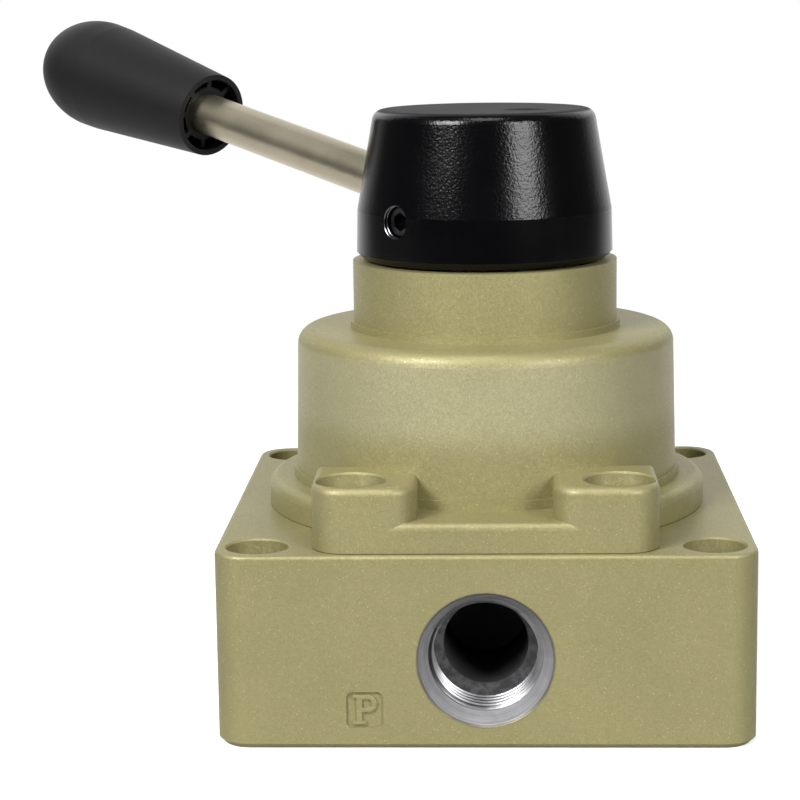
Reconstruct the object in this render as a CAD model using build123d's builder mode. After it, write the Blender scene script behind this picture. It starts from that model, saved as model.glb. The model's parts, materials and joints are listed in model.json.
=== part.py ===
from build123d import *
import os
from math import cos, radians, sin

os.makedirs("parts", exist_ok=True)

# Hand lever air valve: a four-port, three-position rotary disc valve.
# Origin at the centre of the body's underside, +Z up along the spindle, port P facing -Y.

# ---- body block ----
BODY_SIDE = 78.0
BODY_HEIGHT = 28.6
BODY_CORNER_R = 5.0
BODY_TOP_FILLET = 0.6
MOUNT_PITCH = 65.8
MOUNT_HOLE_R = 4.5
MOUNT_RIM_R = 4.75
EDGE_CHAMFER = 0.8
SMALL_CHAMFER = 0.5
FINE_CHAMFER = 0.3

# ---- ports (G3/8), one on each side ----
PORT_Z = 13.2
PORT_LIP_R = 9.95
PORT_LIP_DEPTH = 0.35
PORT_MOUTH_R = 9.6
PORT_MOUTH_DEPTH = 2.8
PORT_THREAD_R = 8.33
PORT_THREAD_END = 9.5
PORT_SHOULDER_END = 9.8
PORT_BORE_R = 6.25
PORT_BORE_STOP = 12.0
PORT_DRILL_TIP = 8.2
RISER_CIRCLE_R = 14.0
RISER_R = 4.5
# sunk square beside each port for its letter
MARK_X = -17.4
MARK_Z = 5.9
MARK_SIDE = 5.3
MARK_CORNER_R = 0.9
MARK_DEPTH = 0.35

# ---- port plate and its seals ----
POCKET_R = 24.5
PLATE_R = 24.4
PLATE_T = 4.0
PLATE_PORT_R = 4.0
SEAL_SEAT_R = 7.0
SEAL_SEAT_DEPTH = 1.85
SEAL_RING_R = 5.9
SEAL_WIRE_R = 0.9
DOWEL_CIRCLE_R = 19.5
DOWEL_ANGLE = 45.0
DOWEL_R = 2.0
DOWEL_DEPTH = 4.0
BODY_SEAL_R = 29.5
BODY_SEAL_WIRE_R = 0.98
BODY_SEAL_GROOVE = 2.0
BODY_SEAL_SIDE_GAP = 0.2

# ---- bonnet ----
FLANGE_R = 33.9
FLANGE_TOP = 33.05
FLANGE_FILLET = 1.5
ROOT_RING_R = 30.1
ROOT_RING_TOP = 34.4
BAR_REACH = 38.2
BAR_FILLET = 1.0
EAR_INNER_X = 9.8
EAR_OUTER_X = 24.95
EAR_INNER_Y = 22.0
EAR_TOP = 38.2
EAR_INNER_CORNER_R = 4.0
EAR_OUTER_CORNER_R = 5.0
EAR_TOP_FILLET = 1.2
SCREW_X = 19.3
SCREW_Y = 32.2
COUNTERBORE_R = 5.1
COUNTERBORE_CHAMFER = 0.25
COUNTERBORE_FLOOR = 30.2
SCREW_CLEARANCE_R = 2.75
DOME_FOOT_R = 29.6
DOME_TOP_R = 29.1
DOME_TOP = 56.0
DOME_FILLET = 2.4
LEDGE_R = 20.9
LEDGE_TOP = 57.0
COLLAR_R = 20.4
COLLAR_TOP = 66.3
CAVITY_R = 25.0
CAVITY_TOP = 50.0
DETENT_FLOOR = 57.0
LOWER_RECESS_R = 16.6
UPPER_RECESS_R = 17.8
RECESS_STEP = 62.6

# ---- bonnet screws, M5 socket head ----
SCREW_R = 2.5
SCREW_SHANK_R = 2.45
SCREW_HEAD_R = 4.25
SCREW_HEAD_H = 5.0
SCREW_HEAD_CHAMFER = 0.4
SCREW_LENGTH = 20.0
SCREW_SOCKET_AF = 4.0
SCREW_SOCKET_DEPTH = 2.8
WASHER_R = 4.5
WASHER_T = 0.8
TAPPED_DEPTH = 20.0
FIT_GAP = 0.05
PRESS_GAP = 0.02

# ---- spindle train ----
SHAFT_R = 6.0
BUSH_R = 8.5
BUSH_BORE_R = 6.04
SPINDLE_FLANGE_R = 12.0
SPINDLE_FLANGE_LOW = 45.0
SPINDLE_FLANGE_TOP = 48.35
SPINDLE_TOP = 84.0
THRUST_WASHER_R = 11.5
THRUST_WASHER_BORE_R = 6.35
TONGUE_LENGTH = 14.0
TONGUE_WIDTH = 6.0
TONGUE_LOW = 39.2
O_RING_GROOVE_R = 4.9
O_RING_GROOVE_W = 1.4
O_RING_HEIGHTS = (52.2, 54.8)
DRIVE_FLATS = 10.0
SCREW_FLAT_W = 6.0
ROTOR_LOW = 28.65
ROTOR_R = 22.0
ROTOR_RIM_TOP = 35.5
ROTOR_STEP_R = 12.5
ROTOR_STEP_TOP = 38.1
ROTOR_HUB_R = 8.0
ROTOR_HUB_TOP = 42.0
ROTOR_SLOT_FLOOR = 38.6
KIDNEY_DEPTH = 5.0
SPRING_R = 10.0
SPRING_WIRE_R = 0.9
SPRING_TURNS = 2.5

# ---- detent, 45 degrees apart over a quarter turn ----
LEVER_AZIMUTH = 137.0
DETENT_STEP = 45.0
DETENT_CIRCLE_R = 11.5
DETENT_PLATE_T = 2.0
DETENT_PLATE_BORE_R = 6.4
BALL_R = 2.0
BALL_CENTRE_Z = 61.05
DIMPLE_R = 2.6
DIMPLE_DEPTH = 0.7
HUB_R = 15.6
HUB_LOW = 59.4
HUB_TOP = 69.6
BALL_HOLE_R = 2.1
BALL_HOLE_TOP = 67.6
DETENT_SPRING_R = 1.55
DETENT_WIRE_R = 0.3
DETENT_SPRING_PITCH = 0.95
DETENT_SPRING_RISE = 3.8
STOP_PIN_R = 2.0
STOP_PIN_LOW = 53.0
STOP_PIN_TOP = 62.4
STOP_SLOT_R = 2.3
STOP_SLOT_TOP = 62.9
CLIP_LOW = 69.7
CLIP_T = 1.0
CLIP_R = 8.2
CLIP_BORE_R = 5.2
CLIP_GAP = 5.0

# ---- dust seal between hub and collar ----
DUST_SEAL_TOP = 65.7
DUST_SEAL_FOOT_R = 16.3
DUST_SEAL_THROAT_R = 16.8
DUST_SEAL_THROAT_Z = 64.7
DUST_SEAL_BACK_R = 17.0
DUST_LIP_R = 15.95
DUST_LIP_LOW = 65.5
DUST_LIP_TOP = 66.0

# ---- cap ----
CAP_LOW = 66.7
CAP_FOOT_CHAMFER = 1.0
CAP_BAND_R = 19.75
CAP_CREASE_Z = 74.1
CAP_CREASE_R = 19.6
CAP_TOP = 89.4
CAP_TOP_R = 16.9
CAP_TOP_FILLET = 1.8
CAP_RECESS_R = 15.65
CAP_RECESS_TOP = 71.0
CAP_BORE_R = 6.03
CAP_BORE_TOP = 84.5
DIMPLE_SEAT_R = 3.4
DIMPLE_SEAT_DEPTH = 0.6
DIMPLE_SEAT_REACH = 8.5
SET_SCREW_Z = 73.4
SET_SCREW_R = 2.5
SET_SCREW_OUT = 18.3
SET_SCREW_IN = 5.45
SET_SCREW_AF = 2.5
SET_SCREW_CHAMFER = 0.4
SET_SCREW_SOCKET_DEPTH = 2.6

# ---- lever rod and grip, measured along the rod from the spindle axis ----
LEVER_Z = 72.7
LEVER_TILT = 11.8
ROD_R = 3.5
ROD_THREAD_R = 3.0
ROD_HOLE_START = 9.2
ROD_START = 9.5
ROD_SHOULDER = 17.0
ROD_NECK = 74.0
ROD_END = 86.0
GRIP_START = 66.0
GRIP_START_R = 7.1
GRIP_KINK = 93.5
GRIP_KINK_R = 9.4
GRIP_CROWN = 97.0
GRIP_CROWN_R = 9.5
GRIP_TIP = 109.6
GRIP_WELL_R = 6.2
GRIP_CORE_R = 4.6
GRIP_CORE_START = 67.4
GRIP_WELL_END = 71.5
GRIP_RIBS = 8
GRIP_RIB_T = 0.9
GRIP_RIB_BITE = 0.2
INSERT_R = 4.8
INSERT_GROOVE_START = 80.0
INSERT_GROOVE_END = 82.0
INSERT_GROOVE_R = 4.0
INSERT_FLOOR_START = 87.0
INSERT_END = 88.0

COMPASS = (0, 90, 180, 270)
lever_turn = radians(LEVER_AZIMUTH)
lever_rise = radians(LEVER_TILT)
lever_direction = Vector(
    cos(lever_rise) * cos(lever_turn), cos(lever_rise) * sin(lever_turn), sin(lever_rise)
)
lever_side = Vector(sin(lever_turn), -cos(lever_turn), 0)
# Sketches on this plane read x along the rod and y as radius.
lever_plane = Plane(origin=(0, 0, LEVER_Z), x_dir=lever_direction, z_dir=lever_side)
lever_axis = Axis(lever_plane.origin, lever_direction)
# The set screw points at the spindle, a quarter turn from the rod.
screw_turn = lever_turn + radians(90)
screw_direction = Vector(cos(screw_turn), sin(screw_turn), 0)
screw_plane = Plane(origin=(0, 0, SET_SCREW_Z), x_dir=(0, 0, 1), z_dir=screw_direction)
# Turned profiles are drawn with x as radius and y as height.
turning_plane = Plane.XZ


def save(piece, name):
    """Label a finished piece and write its STEP file."""
    piece.part.label = name
    export_step(piece.part, f"parts/{name}.step")


# ======== fixed housing ========

# Body: a square block, tapped on four sides, with a riser from each port to the top pocket.
with BuildPart() as valve_body:
    with BuildSketch():
        RectangleRounded(BODY_SIDE, BODY_SIDE, BODY_CORNER_R)
    extrude(amount=BODY_HEIGHT)
    fillet(valve_body.edges().group_by(Axis.Z)[-1], BODY_TOP_FILLET)
    chamfer(valve_body.edges().group_by(Axis.Z)[0], EDGE_CHAMFER)
    with Locations((0, 0, BODY_HEIGHT)):
        with GridLocations(MOUNT_PITCH, MOUNT_PITCH, 2, 2):
            CounterSinkHole(MOUNT_HOLE_R, MOUNT_RIM_R, counter_sink_angle=90)
        with GridLocations(2 * SCREW_X, 2 * SCREW_Y, 2, 2):
            Hole(SCREW_R, depth=TAPPED_DEPTH)
        Hole(POCKET_R, depth=PLATE_T)
    face_x = BODY_SIDE / 2
    for azimuth in COMPASS:
        port_plane = Plane.XY.offset(PORT_Z).rotated((0, 0, azimuth))
        with BuildSketch(port_plane):
            with BuildLine():
                Polyline(
                    (face_x + 1, 0),
                    (face_x + 1, PORT_LIP_R),
                    (face_x, PORT_LIP_R),
                    (face_x - PORT_LIP_DEPTH, PORT_MOUTH_R),
                    (face_x - PORT_MOUTH_DEPTH, PORT_THREAD_R),
                    (face_x - PORT_THREAD_END, PORT_THREAD_R),
                    (face_x - PORT_SHOULDER_END, PORT_BORE_R),
                    (PORT_BORE_STOP, PORT_BORE_R),
                    (PORT_DRILL_TIP, 0),
                    close=True,
                )
            make_face()
        revolve(axis=Axis(port_plane.origin, port_plane.x_dir), mode=Mode.SUBTRACT)
        side_plane = Plane(
            origin=port_plane.x_dir * face_x, x_dir=port_plane.y_dir, z_dir=port_plane.x_dir
        )
        with BuildSketch(side_plane):
            with Locations((MARK_X, MARK_Z)):
                RectangleRounded(MARK_SIDE, MARK_SIDE, MARK_CORNER_R)
        extrude(amount=-MARK_DEPTH, mode=Mode.SUBTRACT)
    with BuildSketch(Plane.XY.offset(PORT_Z)):
        with PolarLocations(RISER_CIRCLE_R, 4):
            Circle(RISER_R)
    extrude(amount=BODY_HEIGHT - PORT_Z, mode=Mode.SUBTRACT)
    with BuildSketch(Plane.XY.offset(BODY_HEIGHT - PLATE_T)):
        with PolarLocations(DOWEL_CIRCLE_R, 2, start_angle=DOWEL_ANGLE):
            Circle(DOWEL_R)
    extrude(amount=-DOWEL_DEPTH, mode=Mode.SUBTRACT)
    with BuildSketch(Plane.XY.offset(BODY_HEIGHT)):
        Circle(BODY_SEAL_R + BODY_SEAL_WIRE_R + BODY_SEAL_SIDE_GAP)
        Circle(BODY_SEAL_R - BODY_SEAL_WIRE_R - BODY_SEAL_SIDE_GAP, mode=Mode.SUBTRACT)
    extrude(amount=-BODY_SEAL_GROOVE, mode=Mode.SUBTRACT)
save(valve_body, "valve_body")

# Port plate: the lapped seat, with a port over each riser and a seal seat under each port.
plate_low = BODY_HEIGHT - PLATE_T
with BuildPart() as port_plate:
    with BuildSketch(Plane.XY.offset(plate_low)):
        Circle(PLATE_R)
        with PolarLocations(RISER_CIRCLE_R, 4):
            Circle(PLATE_PORT_R, mode=Mode.SUBTRACT)
        with PolarLocations(DOWEL_CIRCLE_R, 2, start_angle=DOWEL_ANGLE):
            Circle(DOWEL_R + FIT_GAP, mode=Mode.SUBTRACT)
    extrude(amount=PLATE_T)
    with BuildSketch(Plane.XY.offset(plate_low)):
        with PolarLocations(RISER_CIRCLE_R, 4):
            Circle(SEAL_SEAT_R)
    extrude(amount=SEAL_SEAT_DEPTH, mode=Mode.SUBTRACT)
save(port_plate, "port_plate")

with BuildPart() as port_plate_seals:
    with Locations((0, 0, plate_low + SEAL_WIRE_R)):
        with PolarLocations(RISER_CIRCLE_R, 4):
            Torus(SEAL_RING_R, SEAL_WIRE_R)
save(port_plate_seals, "port_plate_seals")

with BuildPart() as port_plate_dowels:
    with BuildSketch(Plane.XY.offset(plate_low - DOWEL_DEPTH + FIT_GAP)):
        with PolarLocations(DOWEL_CIRCLE_R, 2, start_angle=DOWEL_ANGLE):
            Circle(DOWEL_R - FIT_GAP)
    extrude(amount=DOWEL_DEPTH + PLATE_T - 2 * FIT_GAP)
    chamfer(port_plate_dowels.edges().filter_by(GeomType.CIRCLE), FINE_CHAMFER)
save(port_plate_dowels, "port_plate_dowels")

with BuildPart() as body_seal:
    with Locations((0, 0, BODY_HEIGHT - BODY_SEAL_GROOVE / 2)):
        Torus(BODY_SEAL_R, BODY_SEAL_WIRE_R)
save(body_seal, "body_seal")

# Bonnet: a drafted dome and collar on a round flange, with a bar and two screw ears front and back.
with BuildPart() as bonnet:
    # flange disc and front and back bars
    with BuildSketch(Plane.XY.offset(BODY_HEIGHT)):
        Circle(FLANGE_R)
    extrude(amount=FLANGE_TOP - BODY_HEIGHT)
    fillet(bonnet.edges().group_by(Axis.Z)[-1], FLANGE_FILLET)
    with BuildSketch(Plane.XY.offset(BODY_HEIGHT)):
        Rectangle(EAR_INNER_X + EAR_OUTER_X, 2 * BAR_REACH)
        Rectangle(2 * BODY_SIDE, 2 * EAR_INNER_Y, mode=Mode.SUBTRACT)
    extrude(amount=FLANGE_TOP - BODY_HEIGHT)
    bar_rims = bonnet.edges().filter_by(Axis.X).group_by(Axis.Z)[-1].group_by(Axis.Y)
    fillet(bar_rims[0] + bar_rims[-1], BAR_FILLET)
    # ears, rounded at their corners, running back into the dome
    ear_centre = ((EAR_INNER_X + EAR_OUTER_X) / 2, (EAR_INNER_Y + BAR_REACH) / 2)
    with BuildSketch(Plane.XY.offset(BODY_HEIGHT)) as ear_plan:
        with Locations(ear_centre):
            Rectangle(EAR_OUTER_X - EAR_INNER_X, BAR_REACH - EAR_INNER_Y)
        inner_corner = ear_plan.vertices().sort_by_distance((EAR_INNER_X, BAR_REACH))[0]
        fillet(inner_corner, EAR_INNER_CORNER_R)
        outer_corner = ear_plan.vertices().sort_by_distance((EAR_OUTER_X, BAR_REACH))[0]
        fillet(outer_corner, EAR_OUTER_CORNER_R)
        mirror(about=Plane.YZ)
        mirror(about=Plane.XZ)
    extrude(amount=EAR_TOP - BODY_HEIGHT)
    fillet(bonnet.edges().group_by(Axis.Z)[-1], EAR_TOP_FILLET)
    # root ring, dome and collar
    with BuildSketch(turning_plane):
        with BuildLine():
            Polyline(
                (0, BODY_HEIGHT),
                (ROOT_RING_R, BODY_HEIGHT),
                (ROOT_RING_R, ROOT_RING_TOP),
                (DOME_FOOT_R, ROOT_RING_TOP),
                (DOME_TOP_R, DOME_TOP),
                (LEDGE_R, DOME_TOP),
                (LEDGE_R, LEDGE_TOP),
                (COLLAR_R, LEDGE_TOP),
                (COLLAR_R, COLLAR_TOP),
                (0, COLLAR_TOP),
                close=True,
            )
        make_face()
    revolve(axis=Axis.Z)
    circles = bonnet.edges().filter_by(GeomType.CIRCLE)
    dome_rim = circles.filter_by_position(Axis.Z, DOME_TOP - FIT_GAP, DOME_TOP + FIT_GAP)
    fillet(dome_rim.sort_by(SortBy.RADIUS)[-1], DOME_FILLET)
    # inside: rotor cavity, bush bore, detent recess
    with BuildSketch(turning_plane):
        with BuildLine():
            Polyline(
                (0, BODY_HEIGHT - 1),
                (CAVITY_R, BODY_HEIGHT - 1),
                (CAVITY_R, CAVITY_TOP),
                (BUSH_R, CAVITY_TOP),
                (BUSH_R, DETENT_FLOOR),
                (LOWER_RECESS_R, DETENT_FLOOR),
                (LOWER_RECESS_R, RECESS_STEP),
                (UPPER_RECESS_R, RECESS_STEP),
                (UPPER_RECESS_R, COLLAR_TOP + 1),
                (0, COLLAR_TOP + 1),
                close=True,
            )
        make_face()
    revolve(axis=Axis.Z, mode=Mode.SUBTRACT)
    # screw holes, sunk into the ears
    counterbore_depth = EAR_TOP - COUNTERBORE_FLOOR
    with Locations((0, 0, EAR_TOP)):
        with GridLocations(2 * SCREW_X, 2 * SCREW_Y, 2, 2):
            CounterBoreHole(SCREW_CLEARANCE_R, COUNTERBORE_R, counterbore_depth)
            CounterSinkHole(COUNTERBORE_R, COUNTERBORE_R + COUNTERBORE_CHAMFER, counterbore_depth)
    # blind hole for the stop pin
    with BuildSketch(Plane.XY.offset(DETENT_FLOOR)):
        with PolarLocations(DETENT_CIRCLE_R, 1, start_angle=LEVER_AZIMUTH + DETENT_STEP):
            Circle(STOP_PIN_R)
    extrude(amount=STOP_PIN_LOW - DETENT_FLOOR, mode=Mode.SUBTRACT)
save(bonnet, "bonnet")

# Bonnet screws: socket heads sunk in the ears, on plain washers.
head_low = COUNTERBORE_FLOOR + WASHER_T
head_top = head_low + SCREW_HEAD_H
with BuildPart() as bonnet_screws:
    with BuildSketch(Plane.XY.offset(head_low)):
        with GridLocations(2 * SCREW_X, 2 * SCREW_Y, 2, 2):
            Circle(SCREW_HEAD_R)
    extrude(amount=SCREW_HEAD_H)
    chamfer(bonnet_screws.edges().group_by(Axis.Z)[-1], SCREW_HEAD_CHAMFER)
    with BuildSketch(Plane.XY.offset(head_low)):
        with GridLocations(2 * SCREW_X, 2 * SCREW_Y, 2, 2):
            Circle(SCREW_SHANK_R)
    extrude(amount=-SCREW_LENGTH)
    chamfer(bonnet_screws.edges().group_by(Axis.Z)[0], SMALL_CHAMFER)
    with BuildSketch(Plane.XY.offset(head_top)):
        with GridLocations(2 * SCREW_X, 2 * SCREW_Y, 2, 2):
            RegularPolygon(SCREW_SOCKET_AF / 2, 6, major_radius=False)
    extrude(amount=-SCREW_SOCKET_DEPTH, mode=Mode.SUBTRACT)
save(bonnet_screws, "bonnet_screws")

with BuildPart() as screw_washers:
    with BuildSketch(Plane.XY.offset(COUNTERBORE_FLOOR)):
        with GridLocations(2 * SCREW_X, 2 * SCREW_Y, 2, 2):
            Circle(WASHER_R)
            Circle(SCREW_CLEARANCE_R, mode=Mode.SUBTRACT)
    extrude(amount=WASHER_T)
save(screw_washers, "screw_washers")

with BuildPart() as spindle_bush:
    with BuildSketch(Plane.XY.offset(CAVITY_TOP)):
        Circle(BUSH_R - PRESS_GAP)
        Circle(BUSH_BORE_R, mode=Mode.SUBTRACT)
    extrude(amount=DETENT_FLOOR - CAVITY_TOP)
save(spindle_bush, "spindle_bush")

with BuildPart() as thrust_washer:
    with BuildSketch(Plane.XY.offset(SPINDLE_FLANGE_TOP + FIT_GAP)):
        Circle(THRUST_WASHER_R)
        Circle(THRUST_WASHER_BORE_R, mode=Mode.SUBTRACT)
    extrude(amount=CAVITY_TOP - SPINDLE_FLANGE_TOP - FIT_GAP)
save(thrust_washer, "thrust_washer")

# Detent plate: a hardened ring with a dimple at each lever position for each of the two balls.
plate_top = DETENT_FLOOR + DETENT_PLATE_T
with BuildPart() as detent_plate:
    with BuildSketch(Plane.XY.offset(DETENT_FLOOR)):
        Circle(LOWER_RECESS_R - FIT_GAP)
        Circle(DETENT_PLATE_BORE_R, mode=Mode.SUBTRACT)
        with PolarLocations(DETENT_CIRCLE_R, 1, start_angle=LEVER_AZIMUTH + DETENT_STEP):
            Circle(STOP_PIN_R + FIT_GAP, mode=Mode.SUBTRACT)
    extrude(amount=DETENT_PLATE_T)
    for first_ball in (0, 180):
        with Locations((0, 0, plate_top - DIMPLE_DEPTH + DIMPLE_R)):
            with PolarLocations(
                DETENT_CIRCLE_R, 3,
                start_angle=LEVER_AZIMUTH + first_ball - 2 * DETENT_STEP,
                angular_range=2 * DETENT_STEP, endpoint=True,
            ):
                Sphere(DIMPLE_R, mode=Mode.SUBTRACT)
save(detent_plate, "detent_plate")

with BuildPart() as stop_pin:
    with BuildSketch(Plane.XY.offset(STOP_PIN_LOW)):
        with PolarLocations(DETENT_CIRCLE_R, 1, start_angle=LEVER_AZIMUTH + DETENT_STEP):
            Circle(STOP_PIN_R - PRESS_GAP)
    extrude(amount=STOP_PIN_TOP - STOP_PIN_LOW)
    chamfer(stop_pin.edges().filter_by(GeomType.CIRCLE), FINE_CHAMFER)
save(stop_pin, "stop_pin")

# Dust seal: a wiper ring with a lip that leans towards the hub.
with BuildPart() as dust_seal:
    with BuildSketch(turning_plane):
        with BuildLine():
            Polyline(
                (DUST_SEAL_FOOT_R, RECESS_STEP),
                (UPPER_RECESS_R - FIT_GAP, RECESS_STEP),
                (UPPER_RECESS_R - FIT_GAP, DUST_SEAL_TOP),
                (DUST_SEAL_BACK_R, DUST_SEAL_TOP),
                (DUST_LIP_R, DUST_LIP_TOP),
                (DUST_LIP_R, DUST_LIP_LOW),
                (DUST_SEAL_THROAT_R, DUST_SEAL_THROAT_Z),
                close=True,
            )
        make_face()
    revolve(axis=Axis.Z)
save(dust_seal, "dust_seal")

# ======== turned by the lever ========

# Rotor disc: two kidney channels underneath, each bridging two neighbouring ports.
with BuildPart() as rotor_disc:
    with BuildSketch(turning_plane):
        with BuildLine():
            Polyline(
                (0, ROTOR_LOW),
                (ROTOR_R, ROTOR_LOW),
                (ROTOR_R, ROTOR_RIM_TOP),
                (ROTOR_STEP_R, ROTOR_RIM_TOP),
                (ROTOR_STEP_R, ROTOR_STEP_TOP),
                (ROTOR_HUB_R, ROTOR_STEP_TOP),
                (ROTOR_HUB_R, ROTOR_HUB_TOP),
                (0, ROTOR_HUB_TOP),
                close=True,
            )
        make_face()
    revolve(axis=Axis.Z)
    rotor_rims = rotor_disc.edges().filter_by_position(
        Axis.Z, ROTOR_RIM_TOP - FIT_GAP, ROTOR_RIM_TOP + FIT_GAP
    )
    chamfer(rotor_rims.sort_by(SortBy.RADIUS)[-1], EDGE_CHAMFER)
    with BuildSketch(Plane.XY.offset(ROTOR_LOW)):
        for start_angle in (0, 180):
            SlotArc(CenterArc((0, 0), RISER_CIRCLE_R, start_angle, 90), 2 * PLATE_PORT_R)
    extrude(amount=KIDNEY_DEPTH, mode=Mode.SUBTRACT)
    with BuildSketch(Plane.XY.offset(ROTOR_SLOT_FLOOR)):
        Rectangle(2 * ROTOR_STEP_R, TONGUE_WIDTH + 2 * FIT_GAP, rotation=LEVER_AZIMUTH)
    extrude(amount=ROTOR_HUB_TOP - ROTOR_SLOT_FLOOR, mode=Mode.SUBTRACT)
save(rotor_disc, "rotor_disc")

spring_low = ROTOR_STEP_TOP + SPRING_WIRE_R + FIT_GAP
spring_rise = SPINDLE_FLANGE_LOW - ROTOR_STEP_TOP - 2 * (SPRING_WIRE_R + FIT_GAP)
with BuildPart() as rotor_spring:
    with BuildLine(Plane.XY.offset(spring_low)):
        coil = Helix(pitch=spring_rise / SPRING_TURNS, height=spring_rise, radius=SPRING_R)
    with BuildSketch(Plane(origin=coil @ 0, z_dir=coil % 0)):
        Circle(SPRING_WIRE_R)
    sweep(path=coil, is_frenet=True)
save(rotor_spring, "rotor_spring")

# Spindle: flange and drive tongue below, seal grooves, flats for the detent hub, a seat for the screw.
with BuildPart() as spindle:
    with BuildSketch(turning_plane):
        with BuildLine():
            Polyline(
                (0, SPINDLE_FLANGE_LOW),
                (SPINDLE_FLANGE_R, SPINDLE_FLANGE_LOW),
                (SPINDLE_FLANGE_R, SPINDLE_FLANGE_TOP),
                (SHAFT_R, SPINDLE_FLANGE_TOP),
                (SHAFT_R, SPINDLE_TOP),
                (0, SPINDLE_TOP),
                close=True,
            )
        make_face()
        for groove_z in O_RING_HEIGHTS:
            with Locations((SHAFT_R, groove_z)):
                Rectangle(2 * (SHAFT_R - O_RING_GROOVE_R), O_RING_GROOVE_W, mode=Mode.SUBTRACT)
        clip_groove_depth = SHAFT_R - CLIP_BORE_R + FIT_GAP
        with Locations((SHAFT_R, CLIP_LOW + CLIP_T / 2)):
            Rectangle(2 * clip_groove_depth, CLIP_T + 2 * FIT_GAP, mode=Mode.SUBTRACT)
    revolve(axis=Axis.Z)
    chamfer(spindle.edges().group_by(Axis.Z)[-1], EDGE_CHAMFER)
    with BuildSketch(Plane.XY.offset(SPINDLE_FLANGE_LOW)):
        Rectangle(TONGUE_LENGTH, TONGUE_WIDTH, rotation=LEVER_AZIMUTH)
    extrude(amount=TONGUE_LOW - SPINDLE_FLANGE_LOW)
    with BuildSketch(Plane.XY.offset(HUB_LOW)):
        Circle(2 * SHAFT_R)
        Rectangle(4 * SHAFT_R, DRIVE_FLATS, rotation=LEVER_AZIMUTH, mode=Mode.SUBTRACT)
    extrude(amount=CLIP_LOW - FIT_GAP - HUB_LOW, mode=Mode.SUBTRACT)
    with BuildSketch(screw_plane.offset(SET_SCREW_IN - FIT_GAP)):
        Rectangle(SCREW_FLAT_W, 4 * SHAFT_R)
    extrude(amount=SHAFT_R, mode=Mode.SUBTRACT)
save(spindle, "spindle")

with BuildPart() as spindle_o_rings:
    for groove_z in O_RING_HEIGHTS:
        with Locations((0, 0, groove_z)):
            Torus((SHAFT_R + O_RING_GROOVE_R) / 2, (SHAFT_R - O_RING_GROOVE_R) / 2 - PRESS_GAP)
save(spindle_o_rings, "spindle_o_rings")

# Detent hub: keyed on the spindle flats, with two ball holes and the stop pin's arc slot underneath.
with BuildPart() as detent_hub:
    with BuildSketch(Plane.XY.offset(HUB_LOW)):
        Circle(HUB_R)
        across_flats = DRIVE_FLATS + 2 * FIT_GAP
        with BuildSketch(mode=Mode.PRIVATE) as drive_hole:
            Circle(SHAFT_R + FIT_GAP)
            Rectangle(4 * SHAFT_R, across_flats, rotation=LEVER_AZIMUTH, mode=Mode.INTERSECT)
        add(drive_hole.sketch, mode=Mode.SUBTRACT)
    extrude(amount=HUB_TOP - HUB_LOW)
    chamfer(detent_hub.edges().group_by(Axis.Z)[-1].sort_by(SortBy.LENGTH)[-1], SMALL_CHAMFER)
    with BuildSketch(Plane.XY.offset(HUB_LOW)):
        with PolarLocations(DETENT_CIRCLE_R, 2, start_angle=LEVER_AZIMUTH):
            Circle(BALL_HOLE_R)
    extrude(amount=BALL_HOLE_TOP - HUB_LOW, mode=Mode.SUBTRACT)
    with BuildSketch(Plane.XY.offset(HUB_LOW)):
        SlotArc(
            CenterArc((0, 0), DETENT_CIRCLE_R, LEVER_AZIMUTH + DETENT_STEP, 2 * DETENT_STEP),
            2 * STOP_SLOT_R,
        )
    extrude(amount=STOP_SLOT_TOP - HUB_LOW, mode=Mode.SUBTRACT)
save(detent_hub, "detent_hub")

ball_seats = PolarLocations(DETENT_CIRCLE_R, 2, start_angle=LEVER_AZIMUTH).local_locations
with BuildPart() as detent_springs:
    for seat in ball_seats:
        spring_plane = Plane.XY.offset(BALL_CENTRE_Z + BALL_R + DETENT_WIRE_R + FIT_GAP).move(
            Location(seat.position)
        )
        with BuildLine(spring_plane):
            detent_coil = Helix(DETENT_SPRING_PITCH, DETENT_SPRING_RISE, DETENT_SPRING_R)
        with BuildSketch(Plane(origin=detent_coil @ 0, z_dir=detent_coil % 0)):
            Circle(DETENT_WIRE_R)
        sweep(path=detent_coil, is_frenet=True)
save(detent_springs, "detent_springs")

for number, seat in enumerate(ball_seats, start=1):
    with BuildPart() as detent_ball:
        with Locations(seat.position + Vector(0, 0, BALL_CENTRE_Z)):
            Sphere(BALL_R)
    save(detent_ball, f"detent_ball_{number}")

with BuildPart() as retaining_ring:
    with BuildSketch(Plane.XY.offset(CLIP_LOW)):
        Circle(CLIP_R)
        Circle(CLIP_BORE_R, mode=Mode.SUBTRACT)
        with PolarLocations(CLIP_R, 1, start_angle=LEVER_AZIMUTH + 180):
            Rectangle(2 * CLIP_R, CLIP_GAP, mode=Mode.SUBTRACT)
    extrude(amount=CLIP_T)
save(retaining_ring, "retaining_ring")

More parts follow.
